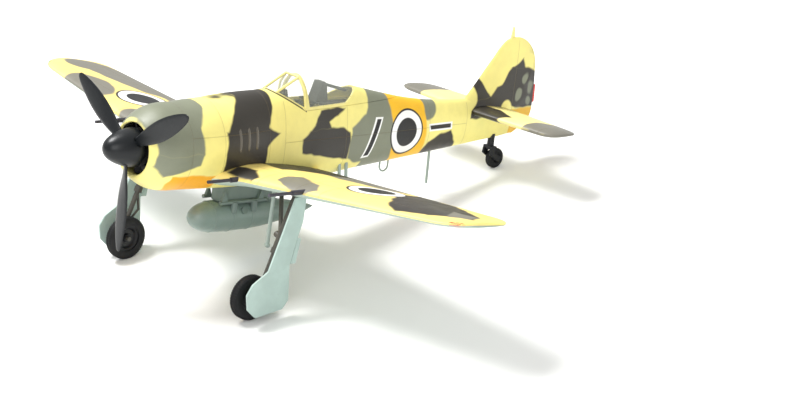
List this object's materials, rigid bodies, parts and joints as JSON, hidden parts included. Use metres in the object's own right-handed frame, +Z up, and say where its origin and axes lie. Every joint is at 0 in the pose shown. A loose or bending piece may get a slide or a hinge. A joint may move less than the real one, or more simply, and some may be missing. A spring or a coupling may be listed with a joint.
{
  "type": "fighter aircraft scale model",
  "caption": "Scale model of a low-wing single-seat fighter with a radial engine, spinning propeller, rolling wheels, sliding canopy hood and a belly drop tank.",
  "frame": {"origin": "middle of the bounding box at floor level, under the wing, with the model standing on its three tyres", "axes": "+X to the aircraft's port side along the span, +Y from the spinner towards the tail, +Z up"},
  "size_m": [0.1458, 0.1238, 0.0474],
  "materials": {
    "belly_rack": "semi-gloss pale blue grey",
    "boarding_step": "pale blue grey",
    "cockpit_tub": "dark matt",
    "control_stick": "dark matt",
    "cooling_fan": "dark satin",
    "cowl_ring": "semi-gloss painted",
    "drop_tank_left": "semi-gloss pale blue grey",
    "drop_tank_right": "semi-gloss pale blue grey",
    "engine": "dark satin",
    "fin_aerial_post": "semi-gloss",
    "fuselage_left": "semi-gloss painted camouflage",
    "fuselage_right": "semi-gloss painted camouflage",
    "gear_door_flaps": "semi-gloss pale blue grey",
    "gear_door_left": "semi-gloss pale blue grey",
    "gear_door_right": "semi-gloss pale blue grey",
    "gear_leg_left": "brown grey",
    "gear_leg_right": "brown grey",
    "gun_barrels_inner": "dark satin",
    "gun_barrels_outer": "dark satin",
    "gunsight": "dark matt",
    "hanging_mast": "semi-gloss pale blue grey",
    "headrest": "dark matt",
    "hood_fairing": "semi-gloss painted camouflage",
    "hood_frame": "semi-gloss",
    "hood_glass": "clear",
    "instrument_panel": "dark matt",
    "loop_antenna": "pale blue grey",
    "nav_light_left": "red",
    "nav_light_right": "green",
    "pilot_seat": "dark matt",
    "propeller_bearing": "dark satin",
    "propeller_blade_1": "black satin",
    "propeller_blade_2": "black satin",
    "propeller_blade_3": "black satin",
    "propeller_shaft": "turned pin",
    "retraction_strut_left": "brown grey",
    "retraction_strut_right": "brown grey",
    "rod_antenna": "pale blue grey",
    "rudder_trim_tab": "red",
    "spinner": "black satin",
    "sway_brace_left": "semi-gloss pale blue grey",
    "sway_brace_right": "semi-gloss pale blue grey",
    "tail_strut": "brown grey",
    "tail_tyre": "matt black moulded tread",
    "tail_wheel_hub": "dark satin",
    "tail_yoke": "brown grey",
    "tailplane_left": "semi-gloss painted camouflage",
    "tailplane_right": "semi-gloss painted camouflage",
    "tank_filler_cap": "semi-gloss pale blue grey",
    "torque_link_left": "brown grey",
    "torque_link_right": "brown grey",
    "tyre_left": "matt black moulded tread",
    "tyre_right": "matt black moulded tread",
    "wheel_hub_left": "dark satin",
    "wheel_hub_right": "dark satin",
    "windscreen_frame": "semi-gloss",
    "windscreen_glass": "clear",
    "wing_lower": "semi-gloss pale blue grey",
    "wing_upper_left": "semi-gloss painted camouflage",
    "wing_upper_right": "semi-gloss painted camouflage"
  },
  "bodies": {
    "airframe": {"belly_rack": "belly_rack", "boarding_step": "boarding_step", "cockpit_tub": "cockpit_tub", "control_stick": "control_stick", "cowl_ring": "cowl_ring", "drop_tank_left": "drop_tank_left", "drop_tank_right": "drop_tank_right", "engine": "engine", "fin_aerial_post": "fin_aerial_post", "fuselage_left": "fuselage_left", "fuselage_right": "fuselage_right", "gear_door_flaps": "gear_door_flaps", "gear_door_left": "gear_door_left", "gear_door_right": "gear_door_right", "gear_leg_left": "gear_leg_left", "gear_leg_right": "gear_leg_right", "gun_barrels_inner": "gun_barrels_inner", "gun_barrels_outer": "gun_barrels_outer", "gunsight": "gunsight", "hanging_mast": "hanging_mast", "instrument_panel": "instrument_panel", "loop_antenna": "loop_antenna", "nav_light_left": "nav_light_left", "nav_light_right": "nav_light_right", "pilot_seat": "pilot_seat", "propeller_bearing": "propeller_bearing", "retraction_strut_left": "retraction_strut_left", "retraction_strut_right": "retraction_strut_right", "rod_antenna": "rod_antenna", "rudder_trim_tab": "rudder_trim_tab", "sway_brace_left": "sway_brace_left", "sway_brace_right": "sway_brace_right", "tail_strut": "tail_strut", "tailplane_left": "tailplane_left", "tailplane_right": "tailplane_right", "tank_filler_cap": "tank_filler_cap", "torque_link_left": "torque_link_left", "torque_link_right": "torque_link_right", "windscreen_frame": "windscreen_frame", "windscreen_glass": "windscreen_glass", "wing_lower": "wing_lower", "wing_upper_left": "wing_upper_left", "wing_upper_right": "wing_upper_right"},
    "propeller": {"spinner": "spinner", "propeller_blade_1": "propeller_blade_1", "propeller_blade_2": "propeller_blade_2", "propeller_blade_3": "propeller_blade_3", "propeller_shaft": "propeller_shaft", "cooling_fan": "cooling_fan"},
    "wheel_left": {"tyre_left": "tyre_left", "wheel_hub_left": "wheel_hub_left"},
    "wheel_right": {"tyre_right": "tyre_right", "wheel_hub_right": "wheel_hub_right"},
    "tail_yoke": {"tail_yoke": "tail_yoke"},
    "tail_wheel": {"tail_tyre": "tail_tyre", "tail_wheel_hub": "tail_wheel_hub"},
    "hood": {"hood_frame": "hood_frame", "hood_glass": "hood_glass", "hood_fairing": "hood_fairing", "headrest": "headrest"}
  },
  "joints": [
    {"name": "propeller_spin", "type": "hinge", "parent": "airframe", "child": "propeller", "pos_m": [0, -0.05606, 0.03603], "axis": [0, 0.9745, -0.2244], "continuous": true},
    {"name": "left_wheel_roll", "type": "hinge", "parent": "airframe", "child": "wheel_left", "pos_m": [0.02265, -0.04436, 0.00486], "axis": [1, 0, 0], "continuous": true},
    {"name": "right_wheel_roll", "type": "hinge", "parent": "airframe", "child": "wheel_right", "pos_m": [-0.02265, -0.04436, 0.00486], "axis": [1, 0, 0], "continuous": true},
    {"name": "tail_swivel", "type": "hinge", "parent": "airframe", "child": "tail_yoke", "pos_m": [0, 0.04626, 0.0058], "axis": [0, 0.2244, 0.9745], "range_deg": [-45, 45]},
    {"name": "tail_wheel_roll", "type": "hinge", "parent": "tail_yoke", "child": "tail_wheel", "pos_m": [0, 0.04744, 0.00245], "axis": [1, 0, 0], "continuous": true},
    {"name": "hood_slide", "type": "slide", "parent": "airframe", "child": "hood", "axis": [0, 0.9798, -0.2], "range_m": [0, 0.009]}
  ]
}
